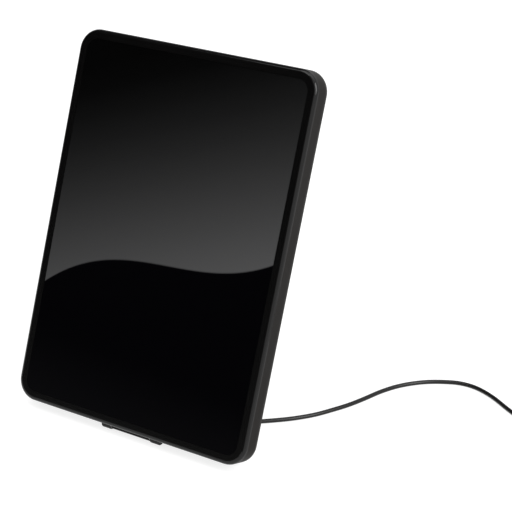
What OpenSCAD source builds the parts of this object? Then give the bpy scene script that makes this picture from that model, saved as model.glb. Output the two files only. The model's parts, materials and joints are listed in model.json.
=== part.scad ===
/* [Case] */
// Width of the case
case_w = 156; // [140:1:180]
// Height of the case, measured along the leaning panel
case_h = 220; // [190:1:250]
// Depth of the case from the front face to the back
case_d = 13.5; // [13:0.1:18]
// Radius of the four outer corners
corner_r = 12.3; // [11:0.1:24]
// Rounding of the front edge
front_round = 2.3; // [1:0.1:2.4]
// Rounding of the back edge
back_round = 1.5; // [0.8:0.1:2]
// Thickness of the side and back walls
wall = 2; // [1.6:0.1:2.4]
// How far the open case leans back from upright, in degrees
lean = 22; // [15:1:30]

/* [Window] */
// Width of the visible front rim
rim_w = 5.5; // [4:0.1:7]
// How far the window lies below the front rim
window_recess = 0.2; // [0.1:0.05:0.4]
// Thickness of the acrylic window
window_t = 1.5; // [1.2:0.1:1.8]
// Gap between the window's edge and the rim
window_gap = 0.1; // [0.05:0.05:0.3]
// Thickness of the graded foil behind the window
foil_t = 0.15; // [0.1:0.05:0.25]
// Thickness of the black sheet behind the foil
sheet_t = 0.3; // [0.2:0.1:0.5]
// Thickness of the adhesive frame that holds the window
tape_t = 0.25; // [0.2:0.05:0.4]
// Width of the ledge that the window is glued to
ledge_w = 2.5; // [2:0.1:3]
// Thickness of that ledge
ledge_t = 1.2; // [1:0.1:1.6]
// Height of the foil's waved lower edge at mid width
wave_mid_z = 97.7; // [70:0.1:130]
// How far the wave rises from mid width to the right
wave_tilt = 5; // [-10:0.5:10]
// How far both ends of the wave dip
wave_dip = 5.8; // [0:0.1:12]
// How far the wave swings down at the left and up at the right
wave_swing = 16.3; // [0:0.1:24]

/* [Back cover] */
// Depth of the back cover's visible edge
cover_edge = 3; // [2.8:0.1:4]
// Length of the lip that plugs into the front frame
lip_len = 2.5; // [2:0.1:3.5]
// Thickness of that lip
lip_t = 1.2; // [1:0.1:1.6]
// Gap between the lip and the front frame
lip_gap = 0.15; // [0.1:0.05:0.3]
// Diameter of a case screw's shank
screw_d = 2.2; // [2:0.1:2.6]
// Diameter of a case screw's head
screw_head_d = 4.2; // [3.8:0.1:5]
// Distance between the wall hanging slots
hang_pitch = 90; // [70:1:110]
// Diameter of a hanging slot's round mouth
hang_mouth_d = 8; // [6:0.5:9]
// Width of a hanging slot's neck
hang_neck_w = 4; // [3:0.5:5]
// Height of the hanging slots' mouths above the bottom
hang_z = 166; // [150:1:176]
// Room for a wall screw's head behind a hanging slot
hang_room = 3; // [2.5:0.1:3.6]

/* [Stand] */
// Length of the stand leg from the hinge
leg_len = 78; // [60:1:88]
// Width of the leg at the hinge
leg_root_w = 38.8; // [36:0.1:48]
// Width of the leg at its free end
leg_end_w = 56; // [48:1:62]
// Thickness of the leg
leg_t = 4; // [3:0.1:4.2]
// Radius of the leg's hinge knuckles
knuckle_r = 4; // [3.7:0.1:4.3]
// Width of each knuckle
knuckle_w = 5.4; // [5:0.1:10]
// Diameter of the hinge pin
pin_d = 2.5; // [2:0.1:2.8]
// Radial play of the pin in the leg
pin_play = 0.05; // [0.02:0.01:0.1]
// Radial play of the pin in the case
pin_fit = 0.02; // [0.01:0.01:0.04]
// Height of the hinge axis above the case's bottom
axis_rise = 0.3; // [0:0.1:1]
// Depth left between a knuckle and the case's back
axis_inset = 0.2; // [0.1:0.1:0.5]
// Play between the leg and its pocket
leg_play = 0.5; // [0.3:0.1:0.8]
// How far the rubber pads stand below the leg
pad_rise = 0.8; // [0.4:0.1:1]
// Diameter of a rubber pad
pad_d = 9; // [6:0.5:10]

/* [Antenna] */
// Thickness of the antenna board
board_t = 1; // [0.8:0.1:1.2]
// Distance from the case's outline to the board's edge
board_inset = 9; // [8:0.5:12]
// Diameter of the board's screws
board_screw_d = 2; // [1.8:0.1:2.4]
// Thickness of the radiator sheets
radiator_t = 0.3; // [0.2:0.1:0.4]
// Length of the shield can
can_l = 44; // [30:1:56]
// Width of the shield can
can_w = 26; // [20:1:30]
// Height of the shield can above the board
can_h = 4.5; // [3:0.1:5]
// Distance from the leg's pocket up to the balun core
core_gap = 7.5; // [5:0.5:12]

/* [Cord] */
// Diameter of the cord
cord_d = 2.6; // [2.2:0.1:3]
// Distance of the cord's exit from the case's middle
exit_x = 38; // [36:1:44]
// Height of the cord's exit above the case's bottom
exit_z = 14; // [12:1:20]
// Length of the strain relief
boot_l = 14; // [10:1:20]
// Diameter of the strain relief at the case
boot_root_d = 6.4; // [6:0.1:8]
// Diameter of the strain relief at its tip
boot_tip_d = 4; // [3.6:0.1:5]
// Diameter of the coil at the middle of its turns
coil_mid_d = 30; // [26:1:34]
// Layers of cord across the coil
coil_across = 4; // [3:1:5]
// Layers of cord up the coil
coil_up = 4; // [3:1:5]
// Outer diameter of the plug's metal sleeve
sleeve_d = 9.5; // [9:0.1:9.6]
// Length of the plug's metal sleeve outside its grip
sleeve_l = 9.5; // [8:0.5:12]
// Diameter of the plug's grip
grip_d = 13; // [11:0.5:14]
// Length of the plug's grip
grip_l = 22; // [18:1:28]

/* [Hidden] */
$fn = 40;
edge_fn = 24;

// Depths inside the case, counted from the front face
split_y = case_d - cover_edge;
back_inner_y = case_d - wall;
foil_y = window_recess + window_t;
sheet_y = foil_y + foil_t;
tape_y = sheet_y + sheet_t;
ledge_y = tape_y + tape_t;
ledge_back = ledge_y + ledge_t;
board_gap = 1.2;
board_y = ledge_back + board_gap;
board_back = board_y + board_t;
board_low = 31;

// Hinge and leg, with the folded leg flush in the back
axis_y = case_d - knuckle_r - axis_inset;
leg_inner_y = case_d - axis_inset - pad_rise - leg_t;
pocket_play = 0.4;
pocket_y = leg_inner_y - pocket_play;
pocket_wall = 1.2;
washer_t = 0.6;
washer_play = 0.15;
barrel_r = knuckle_r - 1.2;
barrel_half = leg_root_w / 2 - knuckle_w - washer_t - 2 * washer_play;
pin_half = leg_root_w / 2 - 0.5;
fork_depth = barrel_r + 0.9;
leg_straight = 12;
leg_corner_r = 9;
leg_rim = 2.6;
leg_panel_t = 2.2;
rib_t = 1.4;
pad_seat = 0.6;
pad_edge = 10;
notch_half = leg_root_w / 2 + leg_play;
notch_y = axis_y - knuckle_r - pocket_play;
notch_top = axis_rise + knuckle_r + pocket_play;
pull_r = 9;
core_z = axis_rise + leg_len + pull_r + pocket_wall + core_gap;
core_h = 7;
can_z = core_z + core_h + 2 + can_w / 2;

// Screw places: x from the middle, z above the case's bottom
case_screw_x = case_w / 2 - wall - 5.5;
case_screw_rows = [22, case_h / 2, case_h - 22];
board_screw_x = case_w / 2 - board_inset - 8;
board_screw_rows = [board_low + 7, case_h - board_inset - 27];
boss_wall = 1.8;
hang_wall = 1;
hang_play = 0.4;
thread_play = 0.05;
screw_seat = 1.1;
screw_head_t = 0.9;
screw_l = 8;
board_head_t = 1.3;
board_screw_l = 6;

// Cord inside the case: a short bend behind the exit, then up and across to the can
inner_y = board_back + cord_d / 2 + 0.3;
flange_t = 0.7;
flange_y = back_inner_y - 1.5 - flange_t;
neck_d = boot_root_d - 1.6;
inner_bend = flange_y - inner_y;
upper_bend = 8;
clamp_z = exit_z + 10;
clamp_half = cord_d / 2 + 5.5;
clamp_t = 1.4;
clamp_h = 6;
clamp_screw_d = 1.6;

// Ground frame: the origin lies under the middle of the case and leg
front_reach = axis_y * cos(lean) + axis_rise * sin(lean)
    - front_round * (cos(lean) + sin(lean) - 1);
back_reach = (case_d - back_round - axis_y) * cos(lean)
    + (case_h - back_round - axis_rise) * sin(lean) + back_round;
hinge_y = (front_reach - max(back_reach, leg_len)) / 2;

function on_ground(p) = [p.x,
    hinge_y + (p.y - axis_y) * cos(lean) + (p.z - axis_rise) * sin(lean),
    knuckle_r - (p.y - axis_y) * sin(lean) + (p.z - axis_rise) * cos(lean)];

// Cord outside: from the strain relief over the ground into the coil
floor_z = cord_d / 2;
route = [[38, -16.8, 9.9], [38.4, -10.6, 7.2], [40.4, -4.8, 4.9], [44.4, 0.4, 3],
    [50.6, 5.2, 1.7], [57.3, 10.3, 1.3], [66.8, 18.2, 1.3], [73.7, 25, 1.3], [80.1, 32.7, 1.3],
    [85.8, 41.8, 1.3], [91.3, 51.6, 1.3], [96.1, 62.7, 1.3], [100.7, 74.8, 1.3],
    [106.2, 85.2, 1.3], [112.8, 93.5, 1.3], [120.3, 100.2, 1.3], [128.7, 105.2, 1.3],
    [137.7, 108.7, 1.3], [148.2, 108.7, 1.3], [160.5, 104.1, 1.3], [174.3, 95.6, 1.3],
    [182.6, 90.9, 1.3], [190.7, 86.6, 1.3]];
coil_place = [200, 103];
coil_half = coil_across * cord_d / 2;
coil_h = coil_up * cord_d;
coil_turn_r = coil_mid_d / 2 + coil_half - cord_d / 2;
tie_t = 0.6;
tie_w = 9;

// Plug: lies beside the coil, its axis along Y
plug_x = coil_place.x + coil_turn_r;
plug_y = coil_place.y + 20;
plug_z = grip_d / 2;
taper_l = 10;
grip_y = plug_y + taper_l;
sleeve_y = grip_y + grip_l;
sleeve_wall = 0.6;
sleeve_step = 0.3;
sleeve_seat = 3;
insulator_l = 4;
contact_d = 2.4;
lead = [[plug_x, coil_place.y, floor_z], [plug_x, coil_place.y + 7, floor_z + 0.7],
    [plug_x, coil_place.y + 14, floor_z + 3.3], [plug_x, plug_y, plug_z]];

// Moves case coordinates (x across, y depth, z up the panel) to the leaning case
module in_case() {
    translate([0, hinge_y, knuckle_r]) rotate([-lean, 0, 0])
        translate([0, -axis_y, -axis_rise]) children();
}

// Extrudes a flat shape (x, height) through the case from one depth to another
module plate(front, back) {
    translate([0, back, 0]) rotate([90, 0, 0]) linear_extrude(back - front) children();
}

// A cylinder through the case's depth, standing at (x, z)
module post(x, z, front, back, d) {
    translate([x, back, z]) rotate([90, 0, 0]) cylinder(h = back - front, d = d);
}

module rounded_rect(w, h, r) {
    translate([-w / 2 + r, 0]) square([w - 2 * r, h]);
    translate([-w / 2, r]) square([w, h - 2 * r]);
    for (x = [-w / 2 + r, w / 2 - r], z = [r, h - r])
        translate([x, z]) circle(r);
}

// The case's outline, moved inwards by inset
module outline(inset) {
    translate([0, inset])
        rounded_rect(case_w - 2 * inset, case_h - 2 * inset, corner_r - inset);
}

// Sweeps a profile (x outwards from the outer face, y depth) round the case's outline
module sweep_outline() {
    for (corner = [[1, 1, 0], [-1, 1, 90], [-1, -1, 180], [1, -1, 270]]) {
        run = (corner.x == corner.y ? case_w : case_h) - 2 * corner_r;
        translate([corner.x * (case_w / 2 - corner_r), 0,
                case_h / 2 + corner.y * (case_h / 2 - corner_r)])
            rotate([90, 0, 0]) rotate([0, 0, corner.z]) {
                rotate_extrude(angle = 90) mirror([0, 1]) translate([corner_r, 0]) children();
                translate([-run, 0, 0]) rotate([90, 0, 90])
                    linear_extrude(run) mirror([0, 1]) translate([corner_r, 0]) children();
            }
    }
}

// Stands its children at every case screw, mirrored so that +x points to the side wall
module at_case_screws() {
    for (side = [0, 1], z = case_screw_rows)
        mirror([side, 0, 0]) translate([case_screw_x, 0, z]) children();
}

module at_board_screws() {
    for (side = [0, 1], z = board_screw_rows)
        mirror([side, 0, 0]) translate([board_screw_x, 0, z]) children();
}

// A quarter disc that rounds the edge between the front and the outer face
module edge_round(r) {
    intersection() {
        translate([-r, r]) circle(r, $fn = edge_fn);
        translate([-r, 0]) square(r);
    }
}

module rim_profile() {
    edge_round(front_round);
    translate([-rim_w, 0]) square([rim_w - front_round, ledge_back]);
    translate([-rim_w, front_round]) square([rim_w, ledge_back - front_round]);
    translate([-rim_w - ledge_w, ledge_y]) square([ledge_w + 1, ledge_t]);
    translate([-wall, front_round]) square([wall, split_y - front_round]);
}

// A screw boss on the window ledge, tied to the side wall by a web
module frame_boss() {
    post(0, 0, ledge_y + 0.6, back_inner_y - 0.3, screw_d + 2 * boss_wall);
    translate([0, ledge_y + 0.6, -rib_t / 2])
        cube([case_w / 2 - wall - case_screw_x + 0.5, split_y - lip_len - ledge_y - 1.2, rib_t]);
}

module front_frame() {
    color("#201e1d") in_case() difference() {
        union() {
            sweep_outline() rim_profile();
            at_case_screws() frame_boss();
        }
        at_case_screws()
            post(0, 0, case_d - screw_seat - screw_l - 1, case_d, screw_d + 2 * thread_play);
        translate([-notch_half, notch_y, -1]) cube([2 * notch_half, case_d, notch_top + 1]);
    }
}

module window_outline() {
    outline(rim_w + window_gap);
}

module front_window() {
    color("#101012") in_case() plate(window_recess, foil_y) window_outline();
}

// Height of the foil's waved lower edge across the window
function wave_z(x) = let (u = x / (case_w / 2 - rim_w))
    wave_mid_z + wave_tilt * u - wave_dip * pow(u, 2) + wave_swing * pow(u, 3);

module graded_foil() {
    steps = 24;
    color("#4a4a4c") in_case() plate(foil_y, sheet_y) intersection() {
        window_outline();
        polygon(concat(
            [for (i = [0:steps]) let (x = case_w * (i / steps - 0.5)) [x, wave_z(x)]],
            [[case_w / 2, case_h], [-case_w / 2, case_h]]));
    }
}

module black_sheet() {
    color("#0a0a0a") in_case() plate(sheet_y, tape_y) window_outline();
}

module adhesive_frame() {
    color("#2c2c2e") in_case() plate(tape_y, ledge_y) difference() {
        window_outline();
        outline(rim_w + ledge_w);
    }
}

// The leg's outline (x across, y from the hinge axis), grown by play
module leg_outline(play) {
    half_root = leg_root_w / 2 + play;
    half_end = leg_end_w / 2 + play;
    far = leg_len - leg_corner_r;
    polygon([[-half_root, 0], [half_root, 0], [half_root, leg_straight], [half_end, far],
        [-half_end, far], [-half_root, leg_straight]]);
    translate([leg_corner_r - leg_end_w / 2, far - 1])
        square([leg_end_w - 2 * leg_corner_r, leg_corner_r + 1 + play]);
    for (side = [-1, 1])
        translate([side * (leg_end_w / 2 - leg_corner_r), far]) circle(leg_corner_r + play);
}

module cover_profile() {
    translate([0, case_d]) mirror([0, 1]) edge_round(back_round);
    inner = wall + lip_gap + lip_t;
    translate([-inner, split_y]) square([inner, cover_edge - back_round]);
    translate([-inner, back_inner_y]) square([inner - back_round, wall]);
    translate([-inner, split_y - lip_len]) square([lip_t, lip_len + 1]);
}

// A keyhole: a round mouth for the screw's head and a neck above it for the shank
module hanging_slot() {
    post(0, 0, back_inner_y - 1, case_d + 1, hang_mouth_d);
    plate(back_inner_y - 1, case_d + 1) {
        translate([-hang_neck_w / 2, 0]) square([hang_neck_w, hang_mouth_d]);
        translate([0, hang_mouth_d]) circle(d = hang_neck_w);
    }
}

// The space that a wall screw's head slides up in, grown by a wall
module hanging_room(grow) {
    room_r = hang_mouth_d / 2 + hang_play + grow;
    plate(back_inner_y - hang_room - grow, back_inner_y + 0.1) {
        translate([-room_r, 0]) square([2 * room_r, hang_mouth_d]);
        for (z = [0, hang_mouth_d])
            translate([0, z]) circle(room_r);
    }
}

// The cover's shell: swept edge, back wall, and the hollow behind the edge
module cover_shell() {
    sweep_outline() cover_profile();
    plate(back_inner_y, case_d) outline(wall + 1);
}

// Walls that the pocket and the hinge notch are cut from
module pocket_block() {
    plate(pocket_y - pocket_wall, case_d - 0.5) intersection() {
        translate([0, axis_rise]) leg_outline(leg_play + pocket_wall);
        outline(wall + lip_gap);
    }
    translate([-notch_half - pocket_wall, notch_y - pocket_wall + 0.1, wall + lip_gap])
        cube([2 * (notch_half + pocket_wall), back_inner_y - notch_y + pocket_wall,
            notch_top + pocket_wall - wall - lip_gap]);
    plate(pocket_y - pocket_wall, case_d - 0.5)
        translate([0, axis_rise + leg_len]) circle(pull_r + pocket_wall);
}

module back_cover() {
    color("#1b1a1a") in_case() {
        difference() {
            union() {
                cover_shell();
                pocket_block();
                at_case_screws() post(0, 0, back_inner_y - 0.3, case_d - 0.2,
                    screw_head_d + 2 * boss_wall);
                at_board_screws() post(0, 0, board_back, case_d - 0.5,
                    board_screw_d + 2 * boss_wall);
                post(exit_x, exit_z, flange_y + flange_t, case_d - 0.5, boot_root_d + 3);
                for (side = [-1, 1])
                    translate([side * hang_pitch / 2, 0, hang_z]) hanging_room(hang_wall);
                for (side = [-1, 1])
                    post(exit_x + side * (clamp_half - 2), clamp_z, inner_y - cord_d / 2,
                        case_d - 0.5, clamp_screw_d + 2);
            }
            plate(pocket_y, case_d + 1) translate([0, axis_rise]) leg_outline(leg_play);
            plate(pocket_y, case_d + 1) translate([0, axis_rise + leg_len]) circle(pull_r);
            translate([-notch_half, notch_y, -1])
                cube([2 * notch_half, case_d, notch_top + 1]);
            at_case_screws() {
                post(0, 0, 0, case_d + 1, screw_d + 0.4);
                post(0, 0, case_d - screw_seat, case_d + 1, screw_head_d + 0.4);
            }
            at_board_screws() post(0, 0, 0, board_y + board_screw_l + 0.4,
                board_screw_d + 2 * thread_play);
            for (side = [-1, 1])
                post(exit_x + side * (clamp_half - 2), clamp_z, 0, back_inner_y - 0.5,
                    clamp_screw_d + 2 * thread_play);
            post(exit_x, exit_z, 0, case_d + 1, neck_d + 0.1);
            for (side = [-1, 1])
                translate([side * hang_pitch / 2, 0, hang_z]) {
                    hanging_slot();
                    hanging_room(0);
                }
        }
        hinge_barrel();
    }
}

// The fixed middle barrel of the hinge, on a web from the pocket's floor
module hinge_barrel() {
    difference() {
        union() {
            translate([-barrel_half, axis_y, axis_rise]) rotate([0, 90, 0])
                cylinder(h = 2 * barrel_half, r = barrel_r);
            translate([-barrel_half, pocket_y - pocket_wall, axis_rise])
                cube([2 * barrel_half, pocket_wall, notch_top - axis_rise + 0.5]);
            translate([-barrel_half, pocket_y - pocket_wall, axis_rise - barrel_r * 0.5])
                cube([2 * barrel_half, pocket_wall + 0.5, barrel_r]);
        }
        translate([-barrel_half - 1, axis_y, axis_rise]) rotate([0, 90, 0])
            cylinder(h = 2 * barrel_half + 2, r = pin_d / 2 + pin_fit);
    }
}

// A pan head screw along the case's depth, its head's seat at depth y and its tip at y + l;
// a negative l points to the front
module screw(y, l, d, head_d, head_t) {
    back = l < 0;
    difference() {
        union() {
            post(0, 0, back ? y : y - head_t, back ? y + head_t : y, head_d);
            post(0, 0, min(y, y + l), max(y, y + l), d);
        }
        for (turn = [0, 90])
            translate([0, back ? y + head_t : y - head_t, 0]) rotate([0, turn, 0])
                cube([head_d * 0.6, head_t, head_d * 0.14], center = true);
    }
}

module case_screws() {
    color("#3c3c3e") in_case() at_case_screws()
        screw(case_d - screw_seat, -screw_l, screw_d, screw_head_d, screw_head_t);
}

module antenna_board() {
    color("#2c5a38") in_case() difference() {
        plate(board_y, board_back) intersection() {
            outline(board_inset);
            translate([-case_w / 2, board_low]) square([case_w, case_h]);
        }
        at_board_screws() post(0, 0, 0, case_d, board_screw_d + 0.3);
        at_case_screws() post(0, 0, 0, case_d, screw_d + 2 * boss_wall + 1);
        for (x = [-4, 4])
            post(x, can_z, 0, case_d, 1.2);
    }
}

// One half of the loop dipole, stamped from sheet: a fan from the feed with an open middle
module radiator() {
    feed = 3;
    reach = board_screw_x - 5;
    spread = (case_h - 2 * board_inset) * 0.33;
    strip = 8;
    plate(board_y - radiator_t, board_y) translate([0, can_z]) difference() {
        union() {
            polygon([[feed, -4], [feed, 4], [reach * 0.55, spread], [reach, spread],
                [reach, -spread], [reach * 0.55, -spread]]);
        }
        polygon([[feed + 2.4 * strip, 0], [reach * 0.55 + strip * 0.3, spread - strip],
            [reach - strip, spread - strip], [reach - strip, -spread + strip],
            [reach * 0.55 + strip * 0.3, -spread + strip]]);
        translate([4, 0]) circle(d = 1.2);
    }
}

module radiator_left() {
    color("#b9803f") in_case() mirror([1, 0, 0]) radiator();
}

module radiator_right() {
    color("#b9803f") in_case() radiator();
}

// Two-hole ferrite core that joins the balanced dipole to the coaxial cord
module balun_core() {
    core = [11, 3.6, core_h];
    color("#4a4a4e") in_case() translate([0, board_back, core_z])
        difference() {
            translate([-core.x / 2, 0, 0]) cube(core);
            for (side = [-1, 1])
                translate([side * core.x / 4, core.y / 2, -1]) cylinder(h = core.z + 2, d = 1.8);
        }
}

module shield_can() {
    can_wall = 0.4;
    color("#b8babd") in_case() difference() {
        translate([-can_l / 2, board_back, can_z - can_w / 2]) cube([can_l, can_h, can_w]);
        translate([-can_l / 2 + can_wall, board_back - 1, can_z - can_w / 2 + can_wall])
            cube([can_l - 2 * can_wall, can_h + 1 - can_wall, can_w - 2 * can_wall]);
        translate([can_l / 2 - 1, inner_y, can_z]) rotate([0, 90, 0])
            cylinder(h = 2, d = cord_d + 0.2);
        for (x = [-2:2])
            post(x * can_l / 6, can_z, board_back + 1, case_d, 1.5);
    }
}

// Amplifier, filter and supply chips soldered on the board inside the can
module amplifier_chips() {
    chips = [[-13, 4, 6, 5, 1.4], [-2, 3, 4, 4, 1.1], [8, 5, 3, 2.4, 1], [-6, -6, 5, 3, 1.2],
        [6, -6, 3.4, 3.4, 1.6]];
    color("#17171a") in_case() for (c = chips)
        translate([c[0] - c[2] / 2, board_back, can_z + c[1] - c[3] / 2])
            cube([c[2], c[4], c[3]]);
}

module board_screws() {
    color("#a9abad") in_case() at_board_screws()
        screw(board_y, board_screw_l, board_screw_d, board_screw_d * 1.9, board_head_t);
}

// The cord's end inside the case: in through the exit, up past the pocket, across to the can
module inner_coax() {
    up_end = can_z - upper_bend;
    color("#262626") in_case() {
        translate([exit_x, flange_y, exit_z + inner_bend]) rotate([-90, 0, 0])
            rotate([0, 90, 0]) rotate_extrude(angle = 90)
                translate([inner_bend, 0]) circle(d = cord_d, $fn = edge_fn);
        translate([exit_x, inner_y, exit_z + inner_bend])
            cylinder(h = up_end - exit_z - inner_bend, d = cord_d);
        translate([exit_x - upper_bend, inner_y, up_end]) rotate([90, 0, 0])
            rotate_extrude(angle = 90) translate([upper_bend, 0])
                circle(d = cord_d, $fn = edge_fn);
        translate([can_l / 2 - 3, inner_y, can_z]) rotate([0, 90, 0])
            cylinder(h = exit_x - upper_bend - can_l / 2 + 3, d = cord_d);
    }
}

// A bar over the cord, screwed to two posts of the back cover
module cable_clamp() {
    front = inner_y - cord_d / 2 - clamp_t;
    color("#e2e0da") in_case() difference() {
        translate([exit_x - clamp_half, front, clamp_z - clamp_h / 2])
            cube([2 * clamp_half, clamp_t, clamp_h]);
        for (side = [-1, 1])
            post(exit_x + side * (clamp_half - 2), clamp_z, 0, case_d, clamp_screw_d + 0.2);
    }
}

module clamp_screws() {
    color("#a9abad") in_case() for (side = [-1, 1])
        translate([exit_x + side * (clamp_half - 2), 0, clamp_z])
            screw(inner_y - cord_d / 2 - clamp_t, 5, clamp_screw_d, clamp_screw_d * 1.8, 0.9);
}

// The rubber sleeve that the cord leaves through: flange, neck, and a grooved taper
module strain_relief() {
    grooves = 4;
    color("#1d1d1e") in_case() translate([exit_x, 0, exit_z]) rotate([-90, 0, 0])
        rotate_extrude() difference() {
            union() {
                translate([0, flange_y]) square([boot_root_d / 2 + 0.6, flange_t]);
                translate([0, flange_y]) square([neck_d / 2, case_d - flange_y + 0.5]);
                polygon([[0, case_d], [boot_root_d / 2, case_d], [boot_root_d / 2, case_d + 1],
                    [boot_tip_d / 2, case_d + boot_l], [0, case_d + boot_l]]);
            }
            for (i = [1:grooves])
                let (y = case_d + 1 + i * (boot_l - 2) / (grooves + 0.6),
                    r = boot_root_d / 2 + (boot_tip_d - boot_root_d) / 2 * (y - case_d) / boot_l)
                    translate([r - 0.45, y - 0.4]) square([2, 0.8]);
        }
}

module hinge_pin() {
    color("#9a9c9e") translate([-pin_half, hinge_y, knuckle_r]) rotate([0, 90, 0])
        cylinder(h = 2 * pin_half, d = pin_d);
}

module spring_washers() {
    color("#85878a") for (side = [-1, 1])
        translate([side * (barrel_half + washer_play + washer_t / 2), hinge_y, knuckle_r])
            rotate([0, 90, 0]) difference() {
                cylinder(h = washer_t, r = barrel_r + 0.5, center = true);
                cylinder(h = washer_t + 1, r = pin_d / 2 + 0.1, center = true);
            }
}

// The fold-out leg: forked knuckles, a rimmed and ribbed plate, and seats for the pads
module stand_leg() {
    top = pad_rise + leg_t;
    floor_t = pad_rise + leg_panel_t;
    color("#1c1b1b") translate([0, hinge_y, 0]) difference() {
        union() {
            difference() {
                translate([0, 0, pad_rise]) linear_extrude(leg_t) leg_outline(0);
                translate([0, 0, floor_t]) linear_extrude(leg_t) difference() {
                    intersection() {
                        leg_outline(-leg_rim);
                        translate([-leg_end_w / 2, leg_straight]) square([leg_end_w, leg_len]);
                    }
                    leg_ribs();
                }
            }
            for (side = [0, 1])
                mirror([side, 0, 0]) translate([leg_root_w / 2 - knuckle_w, 0, knuckle_r])
                    rotate([0, 90, 0]) cylinder(h = knuckle_w, r = knuckle_r);
        }
        translate([knuckle_w - leg_root_w / 2, -knuckle_r - 1, -1])
            cube([leg_root_w - 2 * knuckle_w, knuckle_r + 1 + fork_depth, knuckle_r * 2 + 2]);
        translate([-leg_root_w, 0, knuckle_r]) rotate([0, 90, 0])
            cylinder(h = 2 * leg_root_w, r = pin_d / 2 + pin_play);
        at_pads() translate([0, 0, -1]) cylinder(h = 1 + pad_rise + pad_seat, d = pad_d + 0.2);
    }
}

module leg_ribs() {
    for (x = [-leg_root_w / 4, 0, leg_root_w / 4])
        translate([x - rib_t / 2, 0]) square([rib_t, leg_len]);
    for (y = [leg_len * 0.42, leg_len * 0.7])
        translate([-leg_end_w / 2, y]) square([leg_end_w, rib_t]);
}

module at_pads() {
    for (side = [0, 1])
        mirror([side, 0, 0]) translate([leg_end_w / 2 - pad_edge, leg_len - pad_edge, 0])
            children();
}

module leg_pads() {
    color("#2b2b2c") translate([0, hinge_y, 0]) at_pads()
        cylinder(h = pad_rise + pad_seat, d = pad_d);
}

// Points on a smooth curve through all of the route's points
function curve(p, steps) = concat(
    [for (i = [0:len(p) - 2], k = [0:steps - 1])
        let (a = p[max(i - 1, 0)], b = p[i], c = p[i + 1], d = p[min(i + 2, len(p) - 1)],
            t = k / steps)
            b + (c - a) * t / 2 + (2 * a - 5 * b + 4 * c - d) * t * t / 2
                + (3 * b - a - 3 * c + d) * t * t * t / 2],
    [p[len(p) - 1]]);

function unit(v) = v / norm(v);

// The ring of corners round point i of a path
function ring(p, i, r, sides) =
    let (along = unit(p[min(i + 1, len(p) - 1)] - p[max(i - 1, 0)]),
        across = unit(cross(along, [0, 0, 1])), up = cross(across, along))
        [for (k = [0:sides - 1]) let (a = 360 * (k + 0.5) / sides)
            p[i] + r * (cos(a) * across + sin(a) * up)];

module tube(points, steps) {
    path = curve(points, steps);
    sides = 8;
    last = len(path) - 1;
    polyhedron(
        [for (i = [0:last]) each ring(path, i, cord_d / 2, sides)],
        concat([[for (k = [0:sides - 1]) k]],
            [for (i = [0:last - 1], k = [0:sides - 1]) let (n = (k + 1) % sides)
                [i * sides + k, (i + 1) * sides + k, (i + 1) * sides + n, i * sides + n]],
            [[for (k = [sides - 1:-1:0]) last * sides + k]]));
}

module coax_cord() {
    color("#2d2d2e") tube(route, 2);
}

module cord_coil() {
    color("#2d2d2e") translate([coil_place.x, coil_place.y, 0]) rotate_extrude()
        translate([coil_mid_d / 2 - coil_half, 0]) square([2 * coil_half, coil_h]);
}

module cord_tie() {
    color("#3a3a3c") translate([coil_place.x, coil_place.y + coil_mid_d / 2, 0]) difference() {
        translate([-tie_w / 2, -coil_half - tie_t, 0])
            cube([tie_w, 2 * (coil_half + tie_t), coil_h + tie_t]);
        translate([-tie_w, -coil_half, tie_t]) cube([2 * tie_w, 2 * coil_half, coil_h - tie_t]);
    }
}

module plug_lead() {
    color("#2d2d2e") tube(lead, 2);
}

// Stands its children (a profile: x radius, y along the plug) round the plug's axis
module round_plug(y) {
    translate([plug_x, y, plug_z]) rotate([-90, 0, 0]) rotate_extrude() children();
}

module plug_grip() {
    grooves = 5;
    color("#1f1f20") round_plug(plug_y) difference() {
        polygon([[0, 0], [cord_d / 2 + 0.9, 0], [grip_d / 2 - 1.2, taper_l - 1],
            [grip_d / 2 - 1.2, taper_l], [grip_d / 2, taper_l + 1.2],
            [grip_d / 2, taper_l + grip_l - 1], [grip_d / 2 - 1, taper_l + grip_l],
            [0, taper_l + grip_l]]);
        translate([0, taper_l + grip_l - sleeve_seat])
            square([sleeve_d / 2 - sleeve_step + 0.05, sleeve_seat + 1]);
        for (i = [1:grooves])
            translate([grip_d / 2 - 0.5, taper_l + i * grip_l / (grooves + 1) - 0.7])
                square([1, 1.4]);
    }
}

module plug_sleeve() {
    bore_r = sleeve_d / 2 - sleeve_wall;
    color("#c4c6c8") round_plug(sleeve_y - sleeve_seat) {
        translate([bore_r, 0]) square([sleeve_wall - sleeve_step, sleeve_seat + 1]);
        translate([bore_r, sleeve_seat]) square([sleeve_wall, sleeve_l]);
    }
}

module plug_insulator() {
    color("#e6e4de") round_plug(sleeve_y - sleeve_seat)
        translate([contact_d / 2 + 0.05, 0])
            square([sleeve_d / 2 - sleeve_wall - contact_d / 2 - 0.1, insulator_l]);
}

module plug_pin() {
    color("#c9b26a") round_plug(sleeve_y - sleeve_seat)
        polygon([[0, 0], [contact_d / 2, 0], [contact_d / 2, sleeve_seat + sleeve_l],
            [contact_d / 4, sleeve_seat + sleeve_l + 1], [0, sleeve_seat + sleeve_l + 1]]);
}

front_frame();
front_window();
graded_foil();
black_sheet();
adhesive_frame();
back_cover();
case_screws();
antenna_board();
radiator_left();
radiator_right();
balun_core();
shield_can();
amplifier_chips();
board_screws();
inner_coax();
cable_clamp();
clamp_screws();
strain_relief();
hinge_pin();
spring_washers();
stand_leg();
leg_pads();
coax_cord();
cord_coil();
cord_tie();
plug_lead();
plug_grip();
plug_sleeve();
plug_insulator();
plug_pin();
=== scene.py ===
import json
import math
import bpy
import bmesh
from mathutils import Euler, Matrix, Vector


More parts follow.
